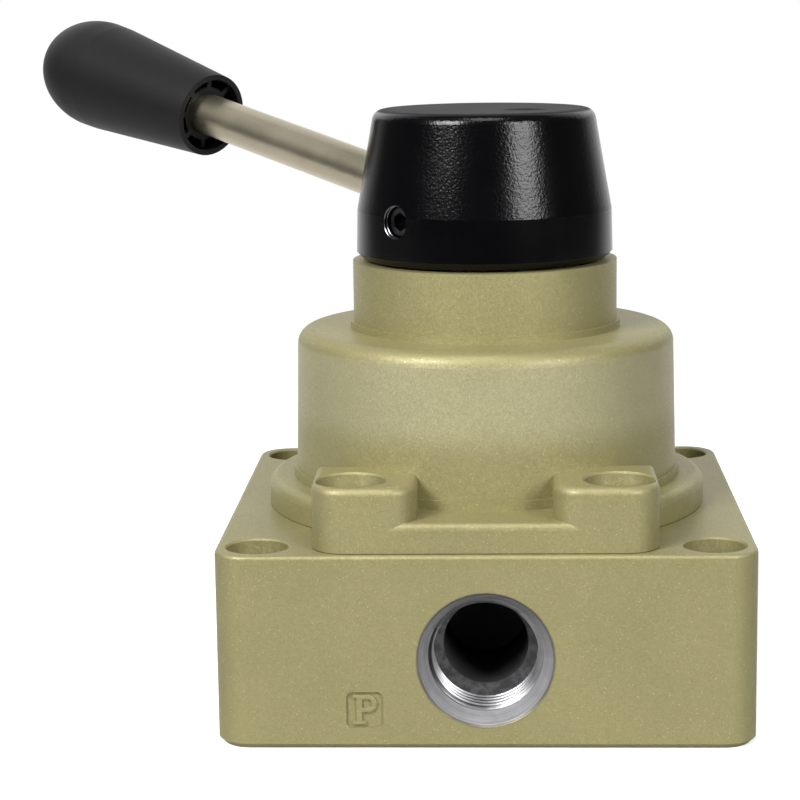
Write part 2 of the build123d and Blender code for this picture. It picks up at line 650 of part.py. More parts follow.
# Cap: a band that breaks into a cone at the crease, bored for the spindle, drilled for rod and screw.
with BuildPart() as cap:
    with BuildSketch(turning_plane):
        with BuildLine():
            Polyline(
                (0, CAP_LOW),
                (CAP_BAND_R - CAP_FOOT_CHAMFER, CAP_LOW),
                (CAP_BAND_R, CAP_LOW + CAP_FOOT_CHAMFER),
                (CAP_CREASE_R, CAP_CREASE_Z),
                (CAP_TOP_R, CAP_TOP),
                (0, CAP_TOP),
                close=True,
            )
        make_face()
    revolve(axis=Axis.Z)
    fillet(cap.edges().group_by(Axis.Z)[-1], CAP_TOP_FILLET)
    with BuildSketch(turning_plane):
        with BuildLine():
            Polyline(
                (0, CAP_LOW - 1),
                (CAP_RECESS_R, CAP_LOW - 1),
                (CAP_RECESS_R, CAP_RECESS_TOP),
                (CAP_BORE_R, CAP_RECESS_TOP),
                (CAP_BORE_R, CAP_BORE_TOP),
                (0, CAP_BORE_TOP),
                close=True,
            )
        make_face()
    revolve(axis=Axis.Z, mode=Mode.SUBTRACT)
    with BuildSketch(lever_plane):
        with BuildLine():
            Polyline(
                (ROD_HOLE_START, 0),
                (ROD_HOLE_START, ROD_THREAD_R + FIT_GAP),
                (ROD_SHOULDER - FIT_GAP, ROD_THREAD_R + FIT_GAP),
                (ROD_SHOULDER - FIT_GAP, ROD_R + FIT_GAP),
                (2 * CAP_BAND_R, ROD_R + FIT_GAP),
                (2 * CAP_BAND_R, 0),
                close=True,
            )
        make_face()
    revolve(axis=lever_axis, mode=Mode.SUBTRACT)
    with BuildSketch(screw_plane):
        Circle(SET_SCREW_R)
    extrude(amount=2 * CAP_BAND_R, mode=Mode.SUBTRACT)
    # shallow drill dimple on top, opposite the lever
    sphere_r = (DIMPLE_SEAT_R**2 + DIMPLE_SEAT_DEPTH**2) / (2 * DIMPLE_SEAT_DEPTH)
    with Locations((0, 0, CAP_TOP + sphere_r - DIMPLE_SEAT_DEPTH)):
        with PolarLocations(DIMPLE_SEAT_REACH, 1, start_angle=LEVER_AZIMUTH + 180):
            Sphere(sphere_r, mode=Mode.SUBTRACT)
save(cap, "cap")

with BuildPart() as cap_set_screw:
    with BuildSketch(screw_plane.offset(SET_SCREW_IN)):
        Circle(SET_SCREW_R - FIT_GAP)
    extrude(amount=SET_SCREW_OUT - SET_SCREW_IN)
    chamfer(cap_set_screw.edges().filter_by(GeomType.CIRCLE), SET_SCREW_CHAMFER)
    with BuildSketch(screw_plane.offset(SET_SCREW_OUT)):
        RegularPolygon(SET_SCREW_AF / 2, 6, major_radius=False)
    extrude(amount=-SET_SCREW_SOCKET_DEPTH, mode=Mode.SUBTRACT)
save(cap_set_screw, "cap_set_screw")

with BuildPart() as lever_rod:
    with BuildSketch(lever_plane):
        with BuildLine():
            Polyline(
                (ROD_START, 0),
                (ROD_START, ROD_THREAD_R),
                (ROD_SHOULDER, ROD_THREAD_R),
                (ROD_SHOULDER, ROD_R),
                (ROD_NECK, ROD_R),
                (ROD_NECK, ROD_THREAD_R),
                (ROD_END, ROD_THREAD_R),
                (ROD_END, 0),
                close=True,
            )
        make_face()
    revolve(axis=lever_axis)
    rod_ends = lever_rod.faces().filter_by(GeomType.PLANE).sort_by(lever_axis)
    chamfer(rod_ends[0].edges() + rod_ends[-1].edges(), SMALL_CHAMFER)
save(lever_rod, "lever_rod")

with BuildPart() as grip_insert:
    with BuildSketch(lever_plane):
        with BuildLine():
            Polyline(
                (ROD_NECK + FIT_GAP, ROD_THREAD_R + FIT_GAP),
                (ROD_NECK + FIT_GAP, INSERT_R),
                (INSERT_GROOVE_START, INSERT_R),
                (INSERT_GROOVE_START, INSERT_GROOVE_R),
                (INSERT_GROOVE_END, INSERT_GROOVE_R),
                (INSERT_GROOVE_END, INSERT_R),
                (INSERT_END, INSERT_R),
                (INSERT_END, 0),
                (INSERT_FLOOR_START, 0),
                (INSERT_FLOOR_START, ROD_THREAD_R + FIT_GAP),
                close=True,
            )
        make_face()
    revolve(axis=lever_axis)
save(grip_insert, "grip_insert")

# Grip: a long cone with a rounded knob end, cored out around the rod and stiffened by ribs.
with BuildPart() as grip:
    with BuildSketch(lever_plane):
        with BuildLine():
            Polyline((GRIP_START, 0), (GRIP_START, GRIP_START_R), (GRIP_KINK, GRIP_KINK_R))
            Line((GRIP_KINK, GRIP_KINK_R), (GRIP_CROWN, GRIP_CROWN_R))
            EllipticalCenterArc((GRIP_CROWN, 0), GRIP_TIP - GRIP_CROWN, GRIP_CROWN_R, arc_size=90)
            Line((GRIP_TIP, 0), (GRIP_START, 0))
        make_face()
    revolve(axis=lever_axis)
    with BuildSketch(lever_plane):
        with BuildLine():
            Polyline(
                (GRIP_START - 1, 0),
                (GRIP_START - 1, GRIP_WELL_R),
                (GRIP_WELL_END, GRIP_WELL_R),
                (GRIP_WELL_END, GRIP_CORE_R),
                (GRIP_CORE_START, GRIP_CORE_R),
                (GRIP_CORE_START, ROD_R + FIT_GAP),
                (ROD_NECK, ROD_R + FIT_GAP),
                (ROD_NECK, INSERT_R + FIT_GAP),
                (INSERT_END + FIT_GAP, INSERT_R + FIT_GAP),
                (INSERT_END + FIT_GAP, 0),
                close=True,
            )
        make_face()
    revolve(axis=lever_axis, mode=Mode.SUBTRACT)
    rib_start = lever_plane.origin + lever_direction * GRIP_CORE_START
    rib_plane = Plane(origin=rib_start, x_dir=lever_side, z_dir=lever_direction)
    with BuildSketch(rib_plane):
        with PolarLocations((GRIP_WELL_R + GRIP_CORE_R) / 2, GRIP_RIBS):
            Rectangle(GRIP_WELL_R - GRIP_CORE_R + 2 * GRIP_RIB_BITE, GRIP_RIB_T)
    extrude(amount=GRIP_WELL_END - GRIP_CORE_START)
save(grip, "grip")
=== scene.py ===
"""Finishes, port threads, port letters and stage for a hand lever air valve."""

import json
from math import cos, radians, sin

import bmesh
import bpy
from mathutils import Matrix, Vector


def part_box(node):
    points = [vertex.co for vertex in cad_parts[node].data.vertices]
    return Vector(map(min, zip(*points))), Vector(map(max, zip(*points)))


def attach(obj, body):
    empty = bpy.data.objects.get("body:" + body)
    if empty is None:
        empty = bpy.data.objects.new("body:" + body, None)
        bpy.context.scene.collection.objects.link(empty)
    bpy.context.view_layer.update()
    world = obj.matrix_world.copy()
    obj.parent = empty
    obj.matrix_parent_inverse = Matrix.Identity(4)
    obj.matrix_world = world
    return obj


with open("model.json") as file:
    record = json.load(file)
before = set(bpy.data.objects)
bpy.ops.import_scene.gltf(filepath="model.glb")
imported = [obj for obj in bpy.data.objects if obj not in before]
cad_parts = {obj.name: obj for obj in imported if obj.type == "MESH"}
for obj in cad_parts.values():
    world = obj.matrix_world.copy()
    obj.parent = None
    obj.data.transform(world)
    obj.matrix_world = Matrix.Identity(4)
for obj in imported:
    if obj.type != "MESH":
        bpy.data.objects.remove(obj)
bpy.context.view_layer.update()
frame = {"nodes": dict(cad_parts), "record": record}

bl_info = {
    "name": "Hand Lever Air Valve",
    "version": (1, 0, 0),
    "blender": (4, 5, 0),
    "location": "View3D > Sidebar > Air Valve",
    "description": "Dresses the valve: painted housing, black cap, plated lever and tapped ports",
    "category": "Object",
}

MM = 0.001

# ---- what the frame says about the valve ----
ports = [mount for mount in frame["record"]["mounts"] if mount["kind"] == "threaded_hole"]
BODY_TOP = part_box("valve_body")[1].z
cap_low, cap_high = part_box("cap")
screw_low, screw_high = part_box("cap_set_screw")
rod_low, rod_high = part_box("lever_rod")
insert_low, insert_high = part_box("grip_insert")
PORT_HEIGHT = ports[0]["pos_m"][2]
PORT_THREAD_R = ports[0]["dims"]["r_mm"] * MM
FACE_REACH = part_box("valve_body")[1].x
SCREW_CENTRE = (screw_low + screw_high) / 2
ROD_CENTRE = (rod_low + rod_high) / 2
LEVER_DIRECTION = ((insert_low + insert_high) / 2 - ROD_CENTRE).normalized()
VALVE_HEIGHT = cap_high.z
CAP_BAND_TOP = cap_low.z + 7.4 * MM

# ---- where a finish changes: the distance at which it starts to, and at which it has ----
# Heights at which the painted sheen, a paler paint all round the dome's wall, fades in, and out again.
DOME_SHEEN_FOOT = (40 * MM, 45.5 * MM)
DOME_SHEEN_TOP = (53.5 * MM, 54.5 * MM)
# Heights above the body of the painted shade line under the bonnet, a dark line for the shade in the
# joint, which starts just clear of the body.
JOINT_FOOT = 0.01 * MM
JOINT_LINE = (0.1 * MM, 0.2 * MM)
# Depths in a port, from the body's face.
PORT_LIP = (0.28 * MM, 0.38 * MM)
PORT_GROOVE = (2.7 * MM, 2.9 * MM)
PORT_SHOULDER = (9.3 * MM, 9.5 * MM)
PORT_BORE = (9.8 * MM, 10.2 * MM)
# Depths at which the painted shade of the thread roots fades in.
ROOT_SHADE_DEPTH = (3.4 * MM, 3.7 * MM)
# How far from a port's axis the metal is bare, and how the paint's edge there fades and wanders.
BARE_METAL_R = 10.05 * MM
PAINT_EDGE = (-0.3 * MM, 0.15 * MM)
PAINT_EDGE_WANDER = 0.4 * MM
# Distances from a port's axis between which painted shade darkens the thread's roots.
ROOT_SHADE_R = (PORT_THREAD_R - 0.6 * MM, PORT_THREAD_R - 0.42 * MM)


# ======== sizes and colours that a user would change ========

class ValveFinishes(bpy.types.PropertyGroup):
    """Colours of the outside finishes."""
    paint: bpy.props.FloatVectorProperty(
        name="Paint", description="Champagne gold housing paint", subtype="COLOR", size=3,
        min=0, max=1, default=(0.295, 0.267, 0.122))
    # Painted sheen: a paler colour all round the dome's upright wall, standing in for light on it.
    dome_sheen_paint: bpy.props.FloatVectorProperty(
        name="Dome Paint", description="Paler, thinner paint on the upright wall of the dome",
        subtype="COLOR", size=3, min=0, max=1, default=(0.366, 0.340, 0.193))
    sparkle: bpy.props.FloatVectorProperty(
        name="Sparkle", description="Metal flakes in the housing paint", subtype="COLOR", size=3,
        min=0, max=1, default=(0.48, 0.45, 0.265))
    flake_size: bpy.props.FloatProperty(
        name="Flake Size", description="Distance between neighbouring flakes", subtype="DISTANCE",
        unit="LENGTH", min=0.00005, default=0.00018, precision=6)
    cap: bpy.props.FloatVectorProperty(
        name="Cap", description="Black cap coating", subtype="COLOR", size=3,
        min=0, max=1, default=(0.0013, 0.0013, 0.0017))
    grip: bpy.props.FloatVectorProperty(
        name="Grip", description="Moulded grip plastic", subtype="COLOR", size=3,
        min=0, max=1, default=(0.0075, 0.0075, 0.008))
    nickel: bpy.props.FloatVectorProperty(
        name="Rod Plating", description="Satin nickel on the lever rod", subtype="COLOR", size=3,
        min=0, max=1, default=(0.67, 0.605, 0.45))
    aluminium: bpy.props.FloatVectorProperty(
        name="Bare Aluminium", description="Machined metal in the ports", subtype="COLOR", size=3,
        min=0, max=1, default=(0.42, 0.415, 0.43))


class ValveThreads(bpy.types.PropertyGroup):
    """Sizes of the thread turns in the ports and in the cap."""
    port_pitch: bpy.props.FloatProperty(
        name="Port Pitch", description="Rise of the port thread in one turn", subtype="DISTANCE",
        unit="LENGTH", min=0.0005, default=0.001337, precision=6)
    port_height: bpy.props.FloatProperty(
        name="Port Thread Height", description="How far the port turns stand in from their wall",
        subtype="DISTANCE", unit="LENGTH", min=0.0001, default=0.0007, precision=6)
    port_start: bpy.props.FloatProperty(
        name="Port Thread Start", description="Depth of the countersink before the first turn",
        subtype="DISTANCE", unit="LENGTH", min=0, default=0.0025, precision=6)
    port_end: bpy.props.FloatProperty(
        name="Port Thread End", description="Depth at which the port thread has run out",
        subtype="DISTANCE", unit="LENGTH", min=0.001, default=0.0095, precision=6)
    screw_pitch: bpy.props.FloatProperty(
        name="Screw Pitch", description="Rise of the set screw's thread in one turn",
        subtype="DISTANCE", unit="LENGTH", min=0.0002, default=0.0006, precision=6)
    screw_height: bpy.props.FloatProperty(
        name="Screw Thread Height", description="How far the set screw's turns stand in from the hole",
        subtype="DISTANCE", unit="LENGTH", min=0.00005, default=0.00012, precision=6)


class ValveLetters(bpy.types.PropertyGroup):
    """Size and place of the raised port letters."""
    height: bpy.props.FloatProperty(
        name="Letter Height", description="Height of a port letter", subtype="DISTANCE",
        unit="LENGTH", min=0.001, default=0.0044, precision=6)
    relief: bpy.props.FloatProperty(
        name="Relief", description="How far a letter stands up in its sunk square", subtype="DISTANCE",
        unit="LENGTH", min=0.00005, default=0.00033, precision=6)
    sink: bpy.props.FloatProperty(
        name="Square Depth", description="Depth of the sunk square", subtype="DISTANCE",
        unit="LENGTH", min=0, default=0.00035, precision=6)
    beside: bpy.props.FloatProperty(
        name="Beside Port", description="Distance of a letter to the left of its port",
        subtype="DISTANCE", unit="LENGTH", default=0.0174, precision=6)
    below: bpy.props.FloatProperty(
        name="Below Port", description="Distance of a letter below its port", subtype="DISTANCE",
        unit="LENGTH", default=0.0073, precision=6)


class ValveStage(bpy.types.PropertyGroup):
    """Floor, lamps and camera."""
    floor_size: bpy.props.FloatProperty(
        name="Floor Size", description="Side of the square floor", subtype="DISTANCE",
        unit="LENGTH", min=0.5, default=1.2)
    floor_front: bpy.props.FloatProperty(
        name="Floor in Front", description="How far the floor reaches in front of the valve's centre",
        subtype="DISTANCE", unit="LENGTH", min=0.1, default=0.24)
    left_power: bpy.props.FloatProperty(
        name="Left Lamp", description="Power of the soft lamp on the left",
        unit="POWER", min=0, default=10.2)
    right_power: bpy.props.FloatProperty(
        name="Right Lamp", description="Power of the soft lamp on the right",
        unit="POWER", min=0, default=5.7)
    top_power: bpy.props.FloatProperty(
        name="Top Lamp", description="Power of the soft lamp above the valve",
        unit="POWER", min=0, default=2.1)
    back_power: bpy.props.FloatProperty(
        name="Back Lamps", description="Power of each lamp behind the valve",
        unit="POWER", min=0, default=0.7)
    room: bpy.props.FloatProperty(
        name="Room Light", description="Level of the light from the room itself", min=0, default=0.05)
    lens: bpy.props.FloatProperty(
        name="Lens", description="Focal length of the camera in millimetres",
        min=10, default=105.06)


# ======== node helpers ========

def new_node(tree, kind, inputs=None, **settings):
    """Add a node, set its settings, and set or link its inputs by name or number."""
    node = tree.nodes.new(kind)
    for name, value in settings.items():
        setattr(node, name, value)
    for name, value in (inputs or {}).items():
        if isinstance(value, bpy.types.NodeSocket):
            tree.links.new(value, node.inputs[name])
        else:
            node.inputs[name].default_value = value
    return node


def maths(tree, operation, first, second=0.0, third=0.0, clamp=False):
    """One Math node; returns its result."""
    node = new_node(tree, "ShaderNodeMath", {0: first, 1: second, 2: third},
                    operation=operation, use_clamp=clamp)
    return node.outputs[0]


def smooth_range(tree, value, low, high, out_low=0.0, out_high=1.0):
    """Turn value from low..high into out_low..out_high with soft ends."""
    node = new_node(
        tree, "ShaderNodeMapRange",
        {"Value": value, "From Min": low, "From Max": high, "To Min": out_low, "To Max": out_high},
        interpolation_type="SMOOTHSTEP",
    )
    return node.outputs["Result"]


def mix_colour(tree, factor, first, second, blend_type="MIX"):
    """Mix two colours; returns the mixed colour."""
    node = new_node(tree, "ShaderNodeMix", {0: factor, 6: first, 7: second},
                    data_type="RGBA", blend_type=blend_type)
    return node.outputs[2]


def rgba(colour):
    """A colour as four numbers."""
    return (*colour, 1.0)


def vector_maths(tree, operation, inputs, output="Vector"):
    """One Vector Math node; returns the named output."""
    return new_node(tree, "ShaderNodeVectorMath", inputs, operation=operation).outputs[output]


def object_place(tree):
    """The point of the surface, in metres from the object's origin."""
    return new_node(tree, "ShaderNodeTexCoord").outputs["Object"]


def axes_of(tree, vector):
    """The X, Y and Z of a vector."""
    return new_node(tree, "ShaderNodeSeparateXYZ", {0: vector}).outputs


def shaded(tree, colour, shade):
    """A colour made lighter or darker by one factor."""
    level = new_node(tree, "ShaderNodeCombineXYZ", {"X": shade, "Y": shade, "Z": shade}).outputs[0]
    return mix_colour(tree, 1.0, colour, level, "MULTIPLY")


def noise(tree, place, scale, detail=2.0, roughness=0.5, dimensions="3D"):
    """A Noise Texture; returns its grey value."""
    node = new_node(tree, "ShaderNodeTexNoise",
                    {"Scale": scale, "Detail": detail, "Roughness": roughness},
                    noise_dimensions=dimensions)
    tree.links.new(place, node.inputs["W" if dimensions == "1D" else "Vector"])
    return node.outputs["Fac"]


def new_group(name, inputs, outputs):
    """A shader node group with named sockets; returns the tree, its inputs and its output node."""
    tree = bpy.data.node_groups.new(name, "ShaderNodeTree")
    for label, kind, default in inputs:
        socket = tree.interface.new_socket(name=label, in_out="INPUT", socket_type=kind)
        socket.default_value = default
    for label, kind in outputs:
        tree.interface.new_socket(name=label, in_out="OUTPUT", socket_type=kind)
    source = tree.nodes.new("NodeGroupInput")
    target = tree.nodes.new("NodeGroupOutput")
    return tree, source.outputs, target.inputs


def use_group(tree, name, inputs=None):
    """Place a shared group in a material; returns its outputs."""
    node = new_node(tree, "ShaderNodeGroup", node_tree=bpy.data.node_groups[name])
    for label, value in (inputs or {}).items():
        if isinstance(value, bpy.types.NodeSocket):
            tree.links.new(value, node.inputs[label])
        else:
            node.inputs[label].default_value = value
    return node.outputs


FLOAT = "NodeSocketFloat"
COLOUR = "NodeSocketColor"
VECTOR = "NodeSocketVector"


# ======== shared effects ========

def build_flake_group():
    """Metallic paint: tinted flakes that each lean their own way, under a light orange peel."""
    tree, given, result = new_group(
        "Metallic Flake",
        [("Colour", COLOUR, (0.4, 0.4, 0.2, 1)), ("Sparkle", COLOUR, (1, 1, 0.8, 1)),
         ("Flakes per Metre", FLOAT, 4000.0), ("Tilt", FLOAT, 0.3), ("Sparkle Share", FLOAT, 0.08),
         ("Peel per Metre", FLOAT, 700.0), ("Peel Height", FLOAT, 0.00001),
         ("Roughness", FLOAT, 0.45)],
        [("Colour", COLOUR), ("Roughness", FLOAT), ("Normal", VECTOR)],
    )
    place = object_place(tree)
    flakes = new_node(tree, "ShaderNodeTexVoronoi",
                      {"Vector": place, "Scale": given["Flakes per Metre"]})
    lean = vector_maths(tree, "SUBTRACT", {0: flakes.outputs["Color"], 1: (0.5, 0.5, 0.5)})
    lean = vector_maths(tree, "SCALE", {0: lean, "Scale": given["Tilt"]})
    peel = noise(tree, place, given["Peel per Metre"], 3.0)
    bumped = new_node(tree, "ShaderNodeBump", {"Height": peel, "Distance": given["Peel Height"]})
    leaning = vector_maths(tree, "ADD", {0: bumped.outputs[0], 1: lean})
    normal = vector_maths(tree, "NORMALIZE", {0: leaning})
    chance = new_node(tree, "ShaderNodeSeparateColor", {"Color": flakes.outputs["Color"]})
    threshold = maths(tree, "SUBTRACT", 1.0, given["Sparkle Share"])
    bright = maths(tree, "GREATER_THAN", chance.outputs["Red"], threshold)
    core = smooth_range(tree, flakes.outputs["Distance"], 0.25, 0.6, 1.0, 0.0)
    bright = maths(tree, "MULTIPLY", bright, core)
    shade = smooth_range(tree, chance.outputs["Green"], 0.0, 1.0, 0.94, 1.06)
    clouds = smooth_range(tree, noise(tree, place, 70.0, 3.0), 0.3, 0.7, 0.965, 1.035)
    tinted = shaded(tree, given["Colour"], maths(tree, "MULTIPLY", shade, clouds))
    tree.links.new(mix_colour(tree, bright, tinted, given["Sparkle"]), result["Colour"])
    dull = maths(tree, "MULTIPLY_ADD", chance.outputs["Blue"], 0.12, given["Roughness"])
    tree.links.new(maths(tree, "MULTIPLY_ADD", bright, -0.2, dull), result["Roughness"])
    tree.links.new(normal, result["Normal"])


def build_port_group():
    """Where the four ports are: a mask, the distance from the port's axis, and the depth."""
    tree, given, result = new_group(
        "Port Zone",
        [("Height", FLOAT, 0.0132), ("Radius", FLOAT, 0.0096), ("Reach", FLOAT, 0.039)],
        [("Mask", FLOAT), ("Radius", FLOAT), ("Depth", FLOAT)],
    )
    place = object_place(tree)
    axes = axes_of(tree, place)
    rise = maths(tree, "SUBTRACT", axes["Z"], given["Height"])
    radii = []
    for across in (axes["Y"], axes["X"]):
        flat = new_node(tree, "ShaderNodeCombineXYZ", {"X": across, "Y": rise}).outputs[0]
        radii.append(vector_maths(tree, "LENGTH", {0: flat}, "Value"))
    radius = maths(tree, "MINIMUM", *radii)
    reach = maths(tree, "MAXIMUM", maths(tree, "ABSOLUTE", axes["X"]),
                  maths(tree, "ABSOLUTE", axes["Y"]))
    uneven = maths(tree, "MULTIPLY_ADD", noise(tree, place, 500.0, 4.0, 0.7),
                   PAINT_EDGE_WANDER, -PAINT_EDGE_WANDER / 2)
    inside = maths(tree, "SUBTRACT", maths(tree, "ADD", radius, uneven), given["Radius"])
    tree.links.new(smooth_range(tree, inside, *PAINT_EDGE, 1.0, 0.0), result["Mask"])
    tree.links.new(radius, result["Radius"])
    tree.links.new(maths(tree, "SUBTRACT", given["Reach"], reach), result["Depth"])


def build_turning_group():
    """Tool marks left by turning: fine rings that follow one measure of the surface."""
    tree, given, result = new_group(
        "Turning Marks",
        [("Measure", FLOAT, 0.0), ("Rings per Metre", FLOAT, 9000.0),
         ("Colour", COLOUR, (0.5, 0.5, 0.5, 1)), ("Roughness", FLOAT, 0.3), ("Spread", FLOAT, 0.15)],
        [("Colour", COLOUR), ("Roughness", FLOAT), ("Height", FLOAT)],
    )
    place = object_place(tree)
    rings = noise(tree, given["Measure"], given["Rings per Metre"], 3.0, 0.7, "1D")
    blotch = noise(tree, place, 420.0, 4.0, 0.6)
    shade = maths(tree, "MULTIPLY_ADD", blotch, 0.5, 0.75)
    shade = maths(tree, "MULTIPLY", shade, smooth_range(tree, rings, 0.3, 0.7, 0.86, 1.1))
    tree.links.new(shaded(tree, given["Colour"], shade), result["Colour"])
    spread = maths(tree, "MULTIPLY", maths(tree, "SUBTRACT", blotch, 0.5), given["Spread"])
    tree.links.new(maths(tree, "ADD", given["Roughness"], spread), result["Roughness"])
    tree.links.new(rings, result["Height"])


def build_grain_group():
    """Fine even grain with broad, faint shading, for moulded, plated and ground surfaces."""
    tree, given, result = new_group(
        "Fine Grain",
        [("Colour", COLOUR, (0.1, 0.1, 0.1, 1)), ("Grains per Metre", FLOAT, 4000.0),
         ("Stretch", VECTOR, (1, 1, 1)), ("Shading", FLOAT, 0.1), ("Roughness", FLOAT, 0.5),
         ("Spread", FLOAT, 0.1)],
        [("Colour", COLOUR), ("Roughness", FLOAT), ("Height", FLOAT)],
    )
    place = object_place(tree)
    stretched = vector_maths(tree, "MULTIPLY", {0: place, 1: given["Stretch"]})
    grain = noise(tree, stretched, given["Grains per Metre"], 2.0)
    broad = noise(tree, place, 90.0, 3.0)
    shade = maths(tree, "SUBTRACT", maths(tree, "ADD", grain, broad), 1.0)
    shade = maths(tree, "MULTIPLY_ADD", shade, given["Shading"], 1.0)
    tree.links.new(shaded(tree, given["Colour"], shade), result["Colour"])
    offset = maths(tree, "MULTIPLY", maths(tree, "SUBTRACT", broad, 0.5), given["Spread"])
    tree.links.new(maths(tree, "ADD", given["Roughness"], offset), result["Roughness"])
    tree.links.new(grain, result["Height"])


def build_shared_effects():
    build_flake_group()
    build_port_group()
    build_turning_group()
    build_grain_group()


# ======== materials ========

ZINC = (0.55, 0.56, 0.58)
DULL_ZINC = (0.18, 0.18, 0.185)
GROUND = (0.56, 0.56, 0.57)
BLACK_OXIDE = (0.10, 0.10, 0.105)
BRONZE = (0.55, 0.36, 0.15)
NITRILE = (0.012, 0.012, 0.012)
ACETAL = (0.74, 0.73, 0.69)
CUT_THREAD = (0.29, 0.29, 0.30)
# Painted shade: the wall between the port's thread turns is a flat, darker metal.
SHADED_GROOVE_METAL = (0.30, 0.30, 0.31)
# Darker, mottled metal on the port's shoulder, behind the threads.
SHOULDER_DARK = (0.07, 0.072, 0.07)
SHOULDER_METAL = (0.14, 0.137, 0.142)
# Painted shade: the bore behind the threads is painted near black.
BORE_SHADE = (0.09, 0.09, 0.093)
# Darker brownish grey on the port's lip.
LIP_DARK = (0.15, 0.142, 0.115)
# Painted shade in the joint under the bonnet.
JOINT_SHADE = (0.02, 0.018, 0.01)
# Weight of the clear coat over the paint, and how strongly the black plastics mirror.
PAINT_COAT = 0.28
BLACK_SPECULAR = 0.28


def new_material(name):
    """An empty material; returns it, its tree and its Principled BSDF."""
    material = bpy.data.materials.new(name)
    material.use_nodes = True
    shader = material.node_tree.nodes["Principled BSDF"]
    return material, material.node_tree, shader


def bump_into(tree, shader, height, distance):
    """Feed a height into the shader's normal."""
    bump = new_node(tree, "ShaderNodeBump", {"Height": height, "Distance": distance})
    tree.links.new(bump.outputs[0], shader.inputs["Normal"])


def colour_into(tree, shader, look):
    """Feed a shared effect's colour and roughness into the shader."""
    tree.links.new(look["Colour"], shader.inputs["Base Color"])
    tree.links.new(look["Roughness"], shader.inputs["Roughness"])


def paint_material(finishes):
    """Champagne paint with a painted sheen on the dome's wall, bare metal in the ports, and painted
    shade in the bores, thread roots and bonnet joint.
    """
    material, tree, shader = new_material("champagne_paint")
    place = object_place(tree)
    height = axes_of(tree, place)["Z"]
    # Painted sheen: the dome's wall takes the paler dome colour all round.
    wall = maths(tree, "MULTIPLY", smooth_range(tree, height, *DOME_SHEEN_FOOT),
                 smooth_range(tree, height, *DOME_SHEEN_TOP, 1.0, 0.0))
    paint = use_group(tree, "Metallic Flake", {
        "Colour": mix_colour(tree, wall, rgba(finishes.paint), rgba(finishes.dome_sheen_paint)),
        "Sparkle": rgba(finishes.sparkle), "Flakes per Metre": 1 / finishes.flake_size,
        "Tilt": 0.16, "Sparkle Share": 0.017,
        "Peel per Metre": 650.0, "Peel Height": 0.000012, "Roughness": 0.52,
    })
    zone = use_group(tree, "Port Zone", {
        "Height": PORT_HEIGHT, "Radius": BARE_METAL_R, "Reach": FACE_REACH,
    })
    metal = use_group(tree, "Turning Marks", {
        "Measure": maths(tree, "ADD", zone["Radius"], zone["Depth"]), "Rings per Metre": 5200.0,
        "Colour": rgba(finishes.aluminium), "Roughness": 0.34, "Spread": 0.22,
    })
    # The shoulder is darker, mottled metal.
    shoulder_mottle = mix_colour(tree, smooth_range(tree, noise(tree, place, 900.0, 3.0), 0.35, 0.65),
                       rgba(SHOULDER_DARK), rgba(SHOULDER_METAL))
    groove = smooth_range(tree, zone["Depth"], *PORT_GROOVE)
    shoulder = smooth_range(tree, zone["Depth"], *PORT_SHOULDER)
    bore = smooth_range(tree, zone["Depth"], *PORT_BORE)
    # Painted shade: past the countersink, the wall behind the thread turns is darker.
    bare = mix_colour(tree, groove, metal["Colour"], rgba(SHADED_GROOVE_METAL))
    bare = mix_colour(tree, shoulder, bare, shoulder_mottle)
    # Painted shade: the bore is painted near black.
    bare = mix_colour(tree, bore, bare, rgba(BORE_SHADE))
    # The lip of each port is a darker brownish grey.
    lip = smooth_range(tree, zone["Depth"], *PORT_LIP, 1.0, 0.0)
    bare = mix_colour(tree, lip, bare, rgba(LIP_DARK))
    # Painted shade: a dark line on the bonnet just above the body, for the shade in the joint.
    joint = maths(tree, "SUBTRACT", height, BODY_TOP)
    seam = maths(tree, "MULTIPLY", maths(tree, "GREATER_THAN", joint, JOINT_FOOT),
                 smooth_range(tree, joint, *JOINT_LINE, 0.75, 0.0))
    coated = mix_colour(tree, seam, paint["Colour"], rgba(JOINT_SHADE))
    tree.links.new(mix_colour(tree, zone["Mask"], coated, bare), shader.inputs["Base Color"])
    shader.inputs["Metallic"].default_value = 0.5
    bare_rough = maths(tree, "MULTIPLY_ADD", shoulder, 0.3, metal["Roughness"])
    rough = new_node(tree, "ShaderNodeMix", {0: zone["Mask"], 2: paint["Roughness"], 3: bare_rough})
    tree.links.new(rough.outputs[0], shader.inputs["Roughness"])
    marks = new_node(tree, "ShaderNodeBump", {"Height": metal["Height"], "Distance": 0.000018})
    normal = new_node(tree, "ShaderNodeMix", {0: zone["Mask"], 4: paint["Normal"], 5: marks.outputs[0]},
                      data_type="VECTOR")
    tree.links.new(normal.outputs[1], shader.inputs["Normal"])
    lacquer = maths(tree, "MULTIPLY_ADD", zone["Mask"], -PAINT_COAT, PAINT_COAT)
    tree.links.new(lacquer, shader.inputs["Coat Weight"])
    shader.inputs["Coat Roughness"].default_value = 0.32
    return material


